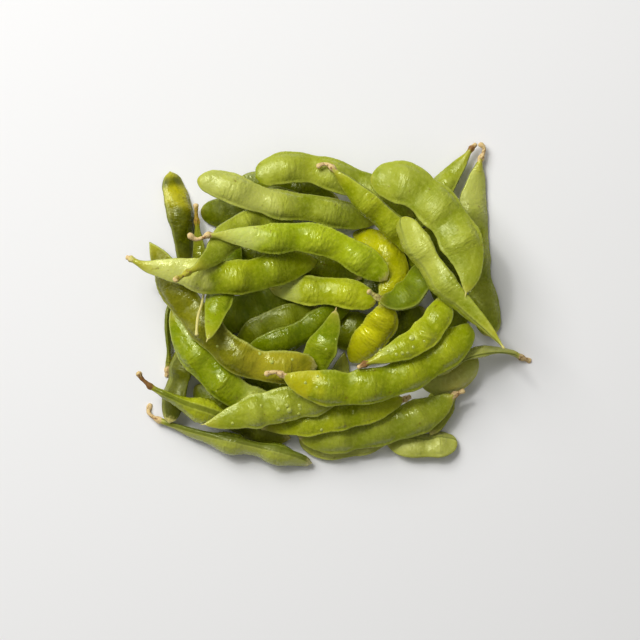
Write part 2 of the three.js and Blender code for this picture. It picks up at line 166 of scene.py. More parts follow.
# The same for pods that differ from their finish.
LIME = (rgb(132, 144, 2), rgb(164, 172, 12), rgb(198, 202, 64))
PALE = (rgb(156, 160, 60), rgb(178, 182, 82), rgb(202, 204, 112))
LIGHT = (rgb(146, 152, 40), rgb(172, 178, 58), rgb(200, 202, 92))
MATTE = (rgb(124, 128, 34), rgb(146, 150, 54), rgb(170, 172, 84))
SHADY = (rgb(84, 100, 0), rgb(108, 124, 0), rgb(134, 144, 20))
DUSKY = (rgb(64, 70, 0), rgb(86, 90, 2), rgb(112, 114, 14))
MEADOW = (rgb(120, 134, 0), rgb(150, 160, 8), rgb(184, 190, 54))
LEMON = (rgb(172, 172, 0), rgb(198, 196, 4), rgb(220, 214, 50))
SPRING = (rgb(130, 148, 0), rgb(164, 178, 12), rgb(198, 208, 66))

RIM = rgb(184, 190, 92)  # the sutures
GROOVE = rgb(80, 90, 8)
NECK = rgb(172, 168, 48)  # the thin ends of a pod
BEAK = rgb(206, 196, 116)
DRIED = rgb(212, 184, 130)  # pedicels and the beaks that dried
SCORCHED = rgb(132, 92, 48)
SPECK = rgb(110, 86, 20)
YELLOW = rgb(188, 180, 16)
BROWN = rgb(150, 124, 36)
TAN = rgb(196, 184, 44)
PAINTED_SHEEN = rgb(202, 210, 116)  # a whitish green: a painted sheen, where the wet skin shows a broad highlight
WATER = rgb(176, 184, 84)  # the skin's green seen through a drop, with its glints
GLINT = (0.95, 1.0, 0.6)  # in linear numbers: light comes back yellowish from a wet skin
FLOOR = (0.78, 0.775, 0.765)  # in linear numbers too


def hermite(at, knots, values):
    """The values, known at the knots, read at other places along smooth curves through them."""
    slopes = np.gradient(values, knots, axis=0)
    left = np.clip(np.searchsorted(knots, at, side="right") - 1, 0, len(knots) - 2)
    right = left + 1
    span = knots[right] - knots[left]
    share = (at - knots[left]) / span
    if values.ndim == 2:
        share, span = share[:, None], span[:, None]
    pull = share * (1 - share) ** 2 * slopes[left] - share**2 * (1 - share) * slopes[right]
    blend = 3 * share**2 - 2 * share**3
    return values[left] + blend * (values[right] - values[left]) + span * pull


def ripples(places, size, seed, heading=None):
    """Smooth random heights, mostly from -1 to 1, that rise and fall once in about a size.

    With a heading they are long wrinkles, and the heading is the way across them.
    """
    draw = np.random.default_rng(seed)
    if heading is None:
        ways = draw.normal(size=(WAVES, 3))
        ways /= np.linalg.norm(ways, axis=1)[:, None]
    else:
        turns = draw.normal(heading, WRINKLE_SPREAD, WAVES)
        ways = np.stack([np.cos(turns), np.sin(turns), np.zeros(WAVES)], axis=1)
    ways *= (2 * np.pi / size * draw.uniform(*WAVE_RANGE, WAVES))[:, None]
    phases = draw.uniform(0, 2 * np.pi, WAVES)
    return np.sin(places @ ways.T + phases).sum(-1) / math.sqrt(WAVES)


def fade(value, start, end):
    """From 0 at start to 1 at end, smoothly; start may lie above end."""
    share = np.clip((value - start) / (end - start), 0, 1)
    return share * share * (3 - 2 * share)


def wall(rings):
    """The faces between each ring and the next, where a ring is a row of its points' numbers."""
    after = np.roll(rings, -1, axis=1)
    faces = np.stack([rings[:-1], after[:-1], after[1:], rings[1:]], axis=-1)
    return faces.reshape(-1, 4).tolist()


def fan(ring, point):
    """The faces between a ring of points and one point, given by their numbers."""
    return [(a, b, point) for a, b in zip(ring.tolist(), np.roll(ring, -1).tolist())]


def smooth_mesh(name, points, faces):
    """A mesh of these points and faces, shaded as one smooth surface."""
    mesh = bpy.data.meshes.new(name)
    mesh.from_pydata(points, [], faces)
    mesh.shade_smooth()
    return mesh


# ---------------------------------------------------------------- reading a solid


def merged(mesh):
    """The mesh's points with doubles merged, and each point's neighbours."""
    ids, places = [], {}
    for vertex in mesh.vertices:
        ids.append(places.setdefault(tuple(vertex.co), len(places)))
    near = [set() for _ in places]
    for face in mesh.polygons:
        corners = [ids[v] for v in face.vertices]
        for a, b in zip(corners, corners[1:] + corners[:1]):
            near[a].add(b)
            near[b].add(a)
    return np.array(list(places)), near


def layers_of(node):
    """The solid's points in layers from the stem end to the tip: a point, rings and a point."""
    points, near = merged(frame["nodes"][node].data)
    # Only an end point has as many neighbours as a ring has corners.
    layer = [next(i for i, others in enumerate(near) if len(others) == SIDES)]
    seen, layers = set(layer), []
    while layer:
        layers.append(points[layer])
        layer = sorted({other for i in layer for other in near[i]} - seen)
        seen.update(layer)
    # The tip ends in the smaller ring.
    if np.ptp(layers[1], axis=0).max() < np.ptp(layers[-2], axis=0).max():
        layers.reverse()
    return layers


def level_side(ring, travel):
    """The level direction to the left across a ring, for someone who travels along the pod."""
    offsets = (ring - ring.mean(0))[:, :2]
    across = offsets[np.argmax(np.linalg.norm(offsets, axis=1))]
    across = across / np.linalg.norm(across)
    left = np.array([-travel[1], travel[0]])
    return across if across @ left > 0 else -across


def section(ring, side):
    """The ring's middle, and how far across and up from it the ring's upper corners are."""
    offsets = ring - ring.mean(0)
    across = offsets[:, :2] @ side
    order = np.argsort(np.arctan2(offsets[:, 2], across))
    # The middle lies halfway between the two opposite corners that are the most level.
    first, second = ring[order[: SIDES // 2]], ring[order[SIDES // 2 :]]
    level = np.argmin(np.abs(first[:, 2] - second[:, 2]))
    middle = (first[level] + second[level]) / 2
    offsets = ring - middle
    upper = offsets[offsets[:, 2] > -LEVEL_MARGIN]
    return middle, np.stack([upper[:, :2] @ side, upper[:, 2]], axis=1)


class Solid:
    """A pod's line, half widths, half thicknesses and turn, as its solid has them."""

    def __init__(self, node):
        layers = layers_of(node)
        rings = layers[1:-1]
        middles = np.array([layer.mean(0) for layer in layers])
        travels = (middles[2:] - middles[:-2])[:, :2]
        sides = [level_side(ring, travel) for ring, travel in zip(rings, travels)]
        sections = [section(ring, side) for ring, side in zip(rings, sides)]
        middles[1:-1] = [middle for middle, _ in sections]
        self.middles = middles
        steps = np.linalg.norm(np.diff(middles, axis=0), axis=1)
        self.along = np.concatenate([[0], np.cumsum(steps)])
        self.measure_widths([corners for _, corners in sections])
        self.find_beans()

    def measure_widths(self, sections):
        """Sets the turn, from the widest section, and each one's half width and half thickness."""
        widest = max(sections, key=lambda corners: np.linalg.norm(corners, axis=1).max())
        across, up = widest[np.argmax(np.linalg.norm(widest, axis=1))]
        self.turn = math.atan2(up, across)
        wide = np.array([math.cos(self.turn), math.sin(self.turn)])
        thin = np.array([-wide[1], wide[0]])
        halves = [
            [np.abs(corners @ wide).max(), np.abs(corners @ thin).max() / TOP_CORNER]
            for corners in sections
        ]
        self.halves = np.array([[0, 0], *halves, [0, 0]])

    def find_beans(self):
        """Sets where the calyx sits, or 0 without a pedicel, and how far each section holds a bean."""
        slim = self.halves[1:, 0] < PEDICEL_LIMIT
        pedicel_rings = int(np.argmin(slim))
        self.calyx = self.along[pedicel_rings + 1] if pedicel_rings > 1 else 0.0
        ratio = self.halves[1:-1, 1] / self.halves[1:-1, 0]
        hull = (self.halves[1:-1, 0] > HULL_LIMIT) & (self.along[1:-1] > self.calyx)
        share = ratio / ratio[hull].max()
        swell = np.where(hull, np.clip((share - WAIST_RATIO) / (1 - WAIST_RATIO), 0, 1), 0)
        self.swell = np.concatenate([[0], swell, [0]])


# ---------------------------------------------------------------- the skin's shape


class Skin:
    """The finer loft of a pod: its points in rows along the pod, and what its material reads."""

    def __init__(self, node, look, seed):
        self.solid = Solid(node)
        self.look = look
        self.seed = seed
        self.place_rows()
        self.shape_sections()
        out = self.relief()
        if self.solid.calyx:
            out = out + self.calyx_relief()
        self.place_points(out)
        self.find_masks()

    def place_rows(self):
        """Sets the rows' places along the pod, and how far each one is hull and holds a bean."""
        solid = self.solid
        length = solid.along[-1]
        rows = np.linspace(0, length, round(length / STEP) + 1)[1:-1]
        caps = STEP * np.array(CAP_STEPS)
        self.along = np.concatenate([caps, rows, length - caps[::-1]])
        self.past_calyx = self.along - solid.calyx
        self.body = fade(self.past_calyx, *HULL_FADE) if solid.calyx else np.ones_like(self.along)
        self.swell = np.clip(hermite(self.along, solid.along, solid.swell), 0, 1)

    def shape_sections(self):
        """Sets the smooth sections, and how far from a suture and over a bean each point is.

        The skin's own coordinates are along the pod, across it, and out of its middle plane.
        """
        self.halves = self.half_widths()
        self.angle = 2 * np.pi * np.arange(AROUND) / AROUND
        self.wide, self.thin = self.outline(self.angle)
        self.run = np.repeat(self.along[:, None], AROUND, axis=1)
        self.places = np.stack([self.run, self.wide, self.thin], axis=-1)
        self.bean = self.swell[:, None] * np.abs(np.sin(self.angle)) ** BEAN_POWER

        self.seam = math.radians(self.look["seam"])
        across, above = self.outline(np.array([self.seam, self.seam + np.pi]))
        from_suture = np.minimum(
            np.hypot(self.wide - across[:, :1], self.thin - above[:, :1]),
            np.hypot(self.wide - across[:, 1:], self.thin - above[:, 1:]),
        )
        self.from_strip = from_suture - self.look["band"] * MM

    def half_widths(self):
        """Half the width and half the thickness at each row, drawn in at the waists and the beak."""
        squares = hermite(self.along, self.solid.along, self.solid.halves**2)
        halves = FULLNESS * np.sqrt(np.maximum(squares, LEAST_SQUARE))
        waist = self.body * (1 - self.swell)
        halves[:, 1] *= 1 - WAIST_DEPTH * waist * fade(halves[:, 0], *WAIST_FADE)
        if self.look["beak"]:
            to_tip = self.along[-1] - self.along
            halves *= 1 - BEAK_SHARE * fade(to_tip, *BEAK_FADE)[:, None]
        return halves

    def outline(self, angle):
        """Each section's points at the angles: how far across, and out of the middle plane."""
        cosine, sine = np.cos(angle)[None, :], np.sin(angle)[None, :]
        height = np.sign(sine) * self.rise(cosine, sine)
        return self.halves[:, :1] * cosine, self.halves[:, 1:] * height

    def rise(self, cosine, sine):
        """The height over the pod's middle plane round a section: a bean's dome, and its margin."""
        plain = np.abs(sine) ** SUTURE_POINT
        dome = np.clip(1 - (np.abs(cosine) / DOME_REACH) ** 2, 0, 1) ** DOME_POWER
        base = MARGIN + TURNED_MARGIN * abs(math.sin(self.solid.turn))
        margin = base * np.abs(sine) ** MARGIN_POWER
        bean = margin + (1 - base) * dome
        return plain + (bean - plain) * (self.body * self.swell)[:, None]

    def relief(self):
        """How far the skin stands out of its smooth form: suture ridges, lumps and wrinkles."""
        ridge = fade(self.from_strip, *RIDGE_FADE) * RIDGE_HEIGHT
        ridge -= fade(self.from_strip, *GROOVE_FADE) * GROOVE_DEPTH
        lumps = LUMP_HEIGHT * ripples(self.places, LUMP_SIZE, self.seed)
        puckers = PUCKER_HEIGHT * ripples(self.places, PUCKER_SIZE, self.seed + PUCKER_SEED)
        wrinkles = ripples(self.places, WRINKLE_SIZE, self.seed + WRINKLE_SEED, WRINKLE_HEADING)
        over_beans = WRINKLES_BESIDE + (1 - WRINKLES_BESIDE) * self.bean
        wrinkles *= WRINKLE_HEIGHT * self.look["wrinkles"] * over_beans
        room = fade(self.halves[:, 1:], *UNEVEN_ROOM)
        edges = self.body[:, None] * fade(self.halves[:, :1], *SUTURE_ROOM)
        return edges * ridge + room * (lumps + puckers + wrinkles)

    def calyx_relief(self):
        """The ragged cup of the calyx, and the pedicel's swellings and flared cut end."""
        draw = np.random.default_rng(self.seed + CALYX_SEED)
        reach = 1 - fade(np.abs(self.past_calyx), 0, CALYX_REACH)
        lobes = 0.5 + 0.5 * np.cos(CALYX_LOBES * self.angle + draw.uniform(0, 2 * np.pi))
        cup = CALYX_RAGGEDNESS * reach[:, None] * (lobes[None, :] - LOBE_SINK)
        flare = CUT_FLARE * fade(self.along, *FLARE_FADE)
        phase = 2 * np.pi * self.along / KNOT_SPACING + draw.uniform(0, KNOT_PHASE)
        knots = KNOT_HEIGHT * np.sin(phase)
        shaft = fade(self.past_calyx, *SHAFT_FADE)
        return cup + (shaft * (flare + knots))[:, None]

    def place_points(self, out):
        """Sets the points, from the smooth sections and how far out of them each one stands."""
        solid = self.solid
        middles = hermite(self.along, solid.along, solid.middles)
        ahead = np.gradient(middles[:, :2], self.along, axis=0)
        ahead /= np.linalg.norm(ahead, axis=1)[:, None]
        scale = np.maximum(np.hypot(self.wide, self.thin), CENTRE_REACH)
        wide = self.wide + out * self.wide / scale
        thin = self.thin + out * self.thin / scale
        across = wide * math.cos(solid.turn) - thin * math.sin(solid.turn)
        up = wide * math.sin(solid.turn) + thin * math.cos(solid.turn)
        points = np.zeros((len(self.along), AROUND, 3))
        points[..., 0] = middles[:, :1] - ahead[:, 1:] * across
        points[..., 1] = middles[:, 1:2] + ahead[:, :1] * across
        points[..., 2] = middles[:, 2:] + up
        self.points = np.clip(points, *cad_box)
        self.ends = solid.middles[[0, -1]]

    def find_masks(self):
        """Sets shares from 0 to 1 at each point, which the material reads by name."""
        run, body = self.run, self.body[:, None]
        length = self.solid.along[-1]
        ragged = RAGGED_REACH * ripples(self.places, RAGGED_SIZE, self.seed + RAGGED_SEED)
        from_seam = np.sin(self.angle - self.seam)[None, :]
        zeros = np.zeros_like(run)
        self.masks = {
            "bean": self.bean,
            "suture": fade(self.from_strip, *SUTURE_FADE) * body,
            "groove": fade(self.from_strip, *DARK_FADE) * body,
            "slim": fade(self.halves[:, :1] + zeros, *SLIM_FADE),
            "tip": fade(length - run + ragged, *TIP_FADE),
            "stem": zeros,
            "cut": zeros,
            "far_side": fade(from_seam + zeros, *SEAM_FADE),
            "patch": zeros,
        }
        if self.solid.calyx:
            self.masks["stem"] = fade(run - self.solid.calyx + ragged, *STEM_FADE)
            self.masks["cut"] = fade(run + ragged, *CUT_FADE)
        if self.look["patch"]:
            start, end = (share * length for share in self.look["patch"][:2])
            drift = run + DRIFT_REACH * ripples(self.places, DRIFT_SIZE, self.seed + DRIFT_SEED)
            entering = fade(drift, start - PATCH_FADE, start + PATCH_FADE)
            leaving = fade(drift, end + PATCH_FADE, end - PATCH_FADE)
            self.masks["patch"] = entering * leaving

    def mesh(self, name):
        """The loft as a closed mesh, with the masks and the skin's own places on its points."""
        points = np.concatenate([self.points.reshape(-1, 3), self.ends])
        rings = np.arange(self.run.size).reshape(self.run.shape)
        faces = fan(rings[0][::-1], rings.size) + wall(rings) + fan(rings[-1], rings.size + 1)
        mesh = smooth_mesh(name, points.tolist(), faces)
        for mask, values in self.masks.items():
            ends = [values[0].mean(), values[-1].mean()]
            layer = mesh.attributes.new(mask, "FLOAT", "POINT")
            layer.data.foreach_set("value", np.concatenate([values.ravel(), ends]).astype(np.float32))
        places = np.concatenate([self.places.reshape(-1, 3), self.places[[0, -1]].mean(axis=1)])
        layer = mesh.attributes.new("place_mm", "FLOAT_VECTOR", "POINT")
        layer.data.foreach_set("vector", (places / MM).astype(np.float32).ravel())
        return mesh


# ---------------------------------------------------------------- materials

# The noises in the skin: how large they are, and from what to what value a layer comes in.
CLOUD_MM = 15
CLOUD_RANGE = (0.3, 0.7)
SPECK_MM = 2.1
SPECK_RANGE = (0.72, 0.78)
FRECKLE_MM = 1.3
FRECKLE_RANGE = (0.42, 0.75)
SCORCH_RANGE = (0.34, 0.52)  # in the freckles too, from scorched bark to clean
VEIN_MM = 1.1
VEIN_RANGE = (0.5, 0.72)
VEIN_STRETCH = (1.0, 0.24, 0.4)  # of the places that are read: the less, the longer the veins
VEIN_TURN = 0.45  # radians, so that the fine veins over a bean run aslant
PEBBLE_MM = 0.8
PUDDLE_MM = 3.5
PUDDLE_RANGE = (0.4, 0.62)
SHIFT_MM = 7.3  # between one pod's place in the noises and the next one's

# How far each layer takes the skin's colour to its own where it is whole.
FRECKLE_STRENGTH = 0.4
BEAN_STRENGTH = 0.2
VEIN_STRENGTH = 0.3
SPECK_STRENGTH = 0.5
GROOVE_STRENGTH = 0.7
TIP_STRENGTH = 0.9
FAR_SIDE_STRENGTH = 0.8

WETNESS = 0.2  # how much less rough than its look a pod is in its puddles
DRYNESS = 0.3  # how much rougher it is between them than in them
STALK_ROUGHNESS = 0.7
BUMP_HEIGHT = 0.15 * MM
PEBBLE_RELIEF = 0.9  # as a share of the bump's height
VEIN_RELIEF = 0.3
VEIN_RELIEF_GAIN = 3.0  # added over a bean

SKIN_SHADER = {
    "Specular IOR Level": 0.5,
    "Specular Tint": GLINT,
    "Subsurface Weight": 0.15,
    "Subsurface Radius": (0.8, 1.0, 0.2),  # red, green and blue
    "Subsurface Scale": 1.5 * MM,
}
# A Mix node has a set of sockets for each type of data, and these are the ones for colours.
MIX_COLOURS = slice(6, 8)
MIX_RESULT = 2


class Nodes:
    """A short way to write a material's nodes."""

    def __init__(self, name):
        self.material = bpy.data.materials.new(name)
        self.material.use_nodes = True
        self.tree = self.material.node_tree
        self.shader = self.tree.nodes["Principled BSDF"]

    def add(self, kind, **settings):
        """A new node with its settings."""
        node = self.tree.nodes.new(kind)
        for key, value in settings.items():
            setattr(node, key, value)
        return node

    def plug(self, value, socket):
        """Links another node's output to the socket, or sets a plain value on it."""
        if isinstance(value, bpy.types.NodeSocket):
            self.tree.links.new(value, socket)
        elif isinstance(value, tuple) and len(value) == 3 and socket.type == "RGBA":
            socket.default_value = (*value, 1)
        else:
            socket.default_value = value

    def mask(self, name):
        """One of the skin's masks, by its name."""
        return self.add("ShaderNodeAttribute", attribute_name=name).outputs["Fac"]

    def math(self, operation, *values):
        """The result of a Math node on the values."""
        node = self.add("ShaderNodeMath", operation=operation)
        for value, socket in zip(values, node.inputs):
            self.plug(value, socket)
        return node.outputs[0]

    def between(self, value, start, end):
        """From 0 at start to 1 at end, smoothly."""
        node = self.add("ShaderNodeMapRange", interpolation_type="SMOOTHSTEP")
        for socket, item in zip(node.inputs, (value, start, end, 0.0, 1.0)):
            self.plug(item, socket)
        return node.outputs[0]

    def mix(self, share, first, second):
        """From the first colour at a share of 0 to the second at 1."""
        node = self.add("ShaderNodeMix", data_type="RGBA")
        self.plug(share, node.inputs["Factor"])
        for socket, colour in zip(node.inputs[MIX_COLOURS], (first, second)):
            self.plug(colour, socket)
        return node.outputs[MIX_RESULT]

    def layer(self, colour, share, strength, top):
        """The colour, taken to the top one as far as the strength says where the share is 1."""
        return self.mix(self.math("MULTIPLY", share, strength), colour, top)

    def place(self, stretch=(1, 1, 1), turn=0.0, shift=0.0):
        """The skin's own coordinates in mm, stretched, turned in the skin and shifted."""
        node = self.add("ShaderNodeMapping")
        source = self.add("ShaderNodeAttribute", attribute_name="place_mm").outputs["Vector"]
        self.plug(source, node.inputs["Vector"])
        self.plug((shift, shift, shift), node.inputs["Location"])
        self.plug((0, 0, turn), node.inputs["Rotation"])
        self.plug(stretch, node.inputs["Scale"])
        return node.outputs[0]

    def noise(self, vector, size_mm, detail=2.0, roughness=0.5):
        """Random values from 0 to 1 that change over about the size."""
        node = self.add("ShaderNodeTexNoise")
        self.plug(vector, node.inputs["Vector"])
        self.plug(1 / size_mm, node.inputs["Scale"])
        self.plug(detail, node.inputs["Detail"])
        self.plug(roughness, node.inputs["Roughness"])
        return node.outputs["Fac"]


def skin_colour(nodes, greens, look, place, freckles, veins):
    """Mottled green, paler over veins, sutures and slim ends, with a dried stem and tip."""
    dark, middle, pale = greens
    clouds = nodes.noise(place, CLOUD_MM)
    specks = nodes.noise(place, SPECK_MM, detail=1)
    colour = nodes.mix(nodes.between(clouds, *CLOUD_RANGE), dark, middle)
    if look["far_side"]:
        colour = nodes.layer(colour, nodes.mask("far_side"), FAR_SIDE_STRENGTH, look["far_side"])
    # A stain, or on some pods a painted sheen, over a share of the pod's length.
    if look["patch"]:
        stain_or_sheen, strength = look["patch"][2:]
        colour = nodes.layer(colour, nodes.mask("patch"), strength, stain_or_sheen)
    bean = nodes.mask("bean")
    layers = (
        (nodes.between(freckles, *FRECKLE_RANGE), FRECKLE_STRENGTH, pale),
        (bean, BEAN_STRENGTH, pale),
        (nodes.math("MULTIPLY", nodes.between(veins, *VEIN_RANGE), bean), VEIN_STRENGTH, pale),
        (nodes.between(specks, *SPECK_RANGE), SPECK_STRENGTH, SPECK),
        (nodes.mask("slim"), look["neck"], NECK),
        (nodes.mask("suture"), look["rim"], RIM),
        (nodes.mask("groove"), GROOVE_STRENGTH, GROOVE),
        (nodes.mask("tip"), TIP_STRENGTH, look["tip"]),
    )
    for share, strength, top in layers:
        colour = nodes.layer(colour, share, strength, top)
    bark = nodes.mix(nodes.between(freckles, *SCORCH_RANGE), SCORCHED, look["stalk"])
    bark = nodes.mix(nodes.mask("cut"), bark, DRIED)
    return nodes.mix(nodes.mask("stem"), colour, bark)


def skin_material(node, look, slot, seed):
    """Boiled pod skin: mottled, pebbled and wrinkled, and wet in patches."""
    nodes = Nodes(f"skin_{node}")
    shift = seed * SHIFT_MM
    place = nodes.place(shift=shift)
    freckles = nodes.noise(place, FRECKLE_MM, detail=3, roughness=0.65)
    pebbles = nodes.noise(place, PEBBLE_MM)
    puddles = nodes.noise(place, PUDDLE_MM)
    veins = nodes.noise(nodes.place(VEIN_STRETCH, VEIN_TURN, shift), VEIN_MM, roughness=0.6)
    colour = skin_colour(nodes, look["greens"] or FINISHES[slot], look, place, freckles, veins)
    nodes.plug(colour, nodes.shader.inputs["Base Color"])

    drier = nodes.between(puddles, *PUDDLE_RANGE)
    wet = nodes.math("MULTIPLY_ADD", drier, DRYNESS, look["roughness"] - WETNESS)
    dry = nodes.math("MULTIPLY", nodes.mask("stem"), STALK_ROUGHNESS)
    nodes.plug(nodes.math("MAXIMUM", wet, dry), nodes.shader.inputs["Roughness"])

    depth = nodes.math("MULTIPLY_ADD", nodes.mask("bean"), VEIN_RELIEF_GAIN, VEIN_RELIEF)
    ruts = nodes.math("MULTIPLY", veins, depth)
    bump = nodes.add("ShaderNodeBump")
    nodes.plug(nodes.math("MULTIPLY_ADD", pebbles, PEBBLE_RELIEF, ruts), bump.inputs["Height"])
    nodes.plug(BUMP_HEIGHT, bump.inputs["Distance"])
    nodes.plug(bump.outputs[0], nodes.shader.inputs["Normal"])
    for socket, value in SKIN_SHADER.items():
        nodes.plug(value, nodes.shader.inputs[socket])
    return nodes.material


def plain_material(name, colour, roughness):
    """One colour and roughness all over."""
    nodes = Nodes(name)
    nodes.plug(colour, nodes.shader.inputs["Base Color"])
    nodes.plug(roughness, nodes.shader.inputs["Roughness"])
    return nodes.material


# ---------------------------------------------------------------- the pods' looks

PLAIN_LOOK = {
    "greens": None,  # its darkest, middle and palest colour, where they aren't its slot's
    "roughness": 0.32,
    "wrinkles": 1.0,  # how high the slanting wrinkles over the beans are
    "neck": 0.6,  # how far the slim ends go to the neck's colour
    "rim": 0.35,  # how pale the sutures are
    "seam": 0,  # degrees round the section from its edge to the suture
    "band": 0.25,  # mm from the suture's middle to the edges of its dark strip
    "tip": BEAK,
    "beak": False,  # a pointed tip drawn out to a thread
    "stalk": DRIED,
    "patch": None,  # the start and end of a stain or of a painted sheen, as shares of the pod's length, colour and strength
    "far_side": None,  # the colour of the face beyond the seam
}

LOOKS = {
    "pod_03": {"roughness": 0.5, "rim": 0.2},
    "pod_04": {"greens": FINISHES["pod_bright"], "rim": 0.2, "roughness": 0.5},
    "pod_05": {"rim": 0.2, "roughness": 0.5},
    "pod_07": {"patch": (0.55, 1, MATTE[0], 0.9)},
    "pod_10": {"greens": PALE, "seam": -70, "rim": 0.8, "roughness": 0.5},
    # Paler greens than its finish: painted light, bounced up from the ground.
    "pod_11": {"greens": PALE},
    # Paler greens than its finish: painted light, against the shade of the pods above it.
    "pod_12": {"greens": LIGHT, "roughness": 0.42},
    # Its pale far side is painted light bounced from the ground onto its lower face; its wide dark
    # suture strip is partly painted shade on the upper face.
    "pod_13": {"greens": FINISHES["pod_bright"], "band": 1.3, "far_side": PALE[1]},
    "pod_14": {"greens": DUSKY, "seam": 120, "far_side": MATTE[0], "roughness": 0.5},
    "pod_16": {"greens": DUSKY, "patch": (0.68, 0.88, YELLOW, 0.9), "tip": NECK, "roughness": 0.46},
    "pod_17": {"greens": FINISHES["pod_deep"], "neck": 0.3, "stalk": BROWN},
    "pod_18": {
        "greens": FINISHES["pod_fresh"], "roughness": 0.42, "wrinkles": 1.5, "neck": 0.9,
        "patch": (0, 0.4, PALE[2], 0.5),
    },
    "pod_19": {"greens": FINISHES["pod_fresh"], "stalk": SCORCHED},
    "pod_21": {"greens": LIME, "band": 0.9, "stalk": SCORCHED},
    # Its pale patch over the second bean is a painted whitish sheen.
    "pod_22": {"rim": 0.8, "roughness": 0.28, "wrinkles": 1.6, "patch": (0.66, 0.86, PALE[2], 0.4)},
    # Dark greens: painted shade, for the hollow in the heap where it lies.
    "pod_23": {"greens": SHADY, "rim": 0.2},
    "pod_24": {"greens": PALE},
    "pod_25": {"roughness": 0.28, "wrinkles": 1.6},
    # Its whitish patch at the tip end is a painted sheen.
    "pod_26": {
        "greens": LIME, "beak": True, "wrinkles": 1.3, "neck": 0.9,
        "patch": (0.72, 1, PAINTED_SHEEN, 0.7),
    },
    "pod_27": {"greens": LEMON, "roughness": 0.24, "wrinkles": 2.4},
    # Paler greens than its finish: painted light, against the shade of the pods above it.
    "pod_28": {"greens": PALE, "roughness": 0.5, "patch": (0.3, 0.6, BROWN, 0.35)},
    "pod_29": {"greens": FINISHES["pod_fresh"]},
    # Pale greens: painted light on its steep sides, which get little light from above.
    "pod_30": {"greens": PALE},
    "pod_31": {"tip": DRIED, "beak": True},
    "pod_32": {"patch": (0.68, 0.96, TAN, 0.55), "rim": 0.7},
    "pod_33": {"greens": SHADY, "rim": 0.5, "roughness": 0.5, "stalk": BEAK},
    "pod_34": {"greens": LIME},
    # Darker greens than its finish: painted shade from the pods over it.
    "pod_35": {"greens": FINISHES["pod_bright"], "beak": True},
    # Its patch makes the left end paler, and is partly a painted whitish sheen.
    "pod_36": {
        "greens": MEADOW, "neck": 0.9, "wrinkles": 1.5, "stalk": BEAK, "tip": MEADOW[0],
        "patch": (0, 0.42, PALE[2], 0.8),
    },
    "pod_37": {"neck": 0.9, "stalk": NECK},
    "pod_38": {"roughness": 0.42, "patch": (0, 0.45, PALE[2], 0.5)},
    "pod_39": {"roughness": 0.42, "tip": LIME[0]},
    "pod_40": {"rim": 0.7, "beak": True},
    "pod_41": {"greens": MEADOW, "patch": (0.04, 0.24, YELLOW, 0.8), "tip": LIME[0]},
    "pod_42": {"greens": LIME, "roughness": 0.28, "wrinkles": 1.2, "stalk": SCORCHED},
    # Its whitish patch at the left end is a painted wet sheen.
    "pod_43": {"greens": SPRING, "wrinkles": 1.8, "roughness": 0.3, "patch": (0.02, 0.34, PAINTED_SHEEN, 0.75)},
    "pod_44": {"greens": LIME, "roughness": 0.42},
    "pod_45": {"seam": -75, "rim": 0.5, "roughness": 0.42, "patch": (0, 0.4, LIGHT[2], 0.4)},
    "pod_46": {"beak": True, "roughness": 0.48},
}

# Drops of water on the crown: middle, to the right and up as seen from above, and radius, in mm.
DROPS_MM = {
    "pod_22": [(-41.1, -31.1, 0.5)],
    "pod_31": [(-3.9, -13.7, 0.5), (-1.5, -16.1, 0.45), (1.7, -12.7, 0.4)],
    "pod_32": [(-40.9, -15.0, 0.5), (-35.3, -14.5, 0.6), (-25.5, -17.5, 0.6), (-21.1, -20.8, 0.7),
               (-13.9, -19.4, 0.6), (-8.2, -18.3, 0.7)],
    "pod_34": [(-3.4, -44.8, 0.6)],
    "pod_40": [(-25.0, -36.0, 0.6), (-19.1, -37.7, 0.8), (-15.6, -36.1, 0.7), (-14.8, -38.0, 1.0),
               (-11.2, -36.1, 0.8), (-10.9, -37.4, 0.6), (-17.4, -41.4, 0.9), (-11.6, -39.0, 0.6),
               (-35.3, -42.3, 0.6)],
    "pod_41": [(-9.2, -27.9, 0.6), (-5.2, -29.5, 0.5), (-4.7, -25.7, 0.6), (-1.5, -27.9, 0.5)],
    "pod_42": [(15.5, -17.7, 0.5), (17.1, -16.2, 0.6), (20.2, -16.2, 0.7), (22.6, -15.1, 0.5),
               (22.9, -17.7, 0.6), (25.0, -17.2, 0.7), (27.1, -17.0, 0.5), (28.4, -12.0, 1.1),
               (28.7, -15.1, 0.6), (33.0, -12.9, 0.5)],
}
DROP_FLATNESS = 0.45  # a drop's height as a share of its radius
DROP_SINK = 0.06 * MM
DROP_RINGS = 6
DROP_SIDES = 20
SLOPE_ROWS = 2  # rows and corners each way over which the skin's slope under a drop is read

# The suture string that came off pod_35, as seen from above, in mm, and its radius there.
STRING_MM = [(-45.4, 5.2, 0.4), (-46.0, 0.5, 0.45), (-47.2, -4.3, 0.55), (-47.6, -8.9, 0.5),
             (-47.5, -11.0, 0.75)]
STRING_SIDES = 12
STRING_ROWS = 40
STRING_LIFT = 0.6  # how far its line lies over the skins, as a share of its radius


def add_piece(name, mesh, material):
    """Makes the mesh a piece on the one body, with the material."""
    piece = bpy.data.objects.new(name, mesh)
    bpy.context.scene.collection.objects.link(piece)
    mesh.materials.append(material)
    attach(piece, "root")
    return piece


def dress(node, slot, seed):
    """Puts a finer skin in the place of a pod's solid, with the pod's own look."""
    look = {**PLAIN_LOOK, **LOOKS.get(node, {})}
    skin = Skin(node, look, seed)
    name = f"{node}_skin"
    piece = add_piece(name, skin.mesh(name), skin_material(node, look, slot, seed))
    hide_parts(node)
    return skin


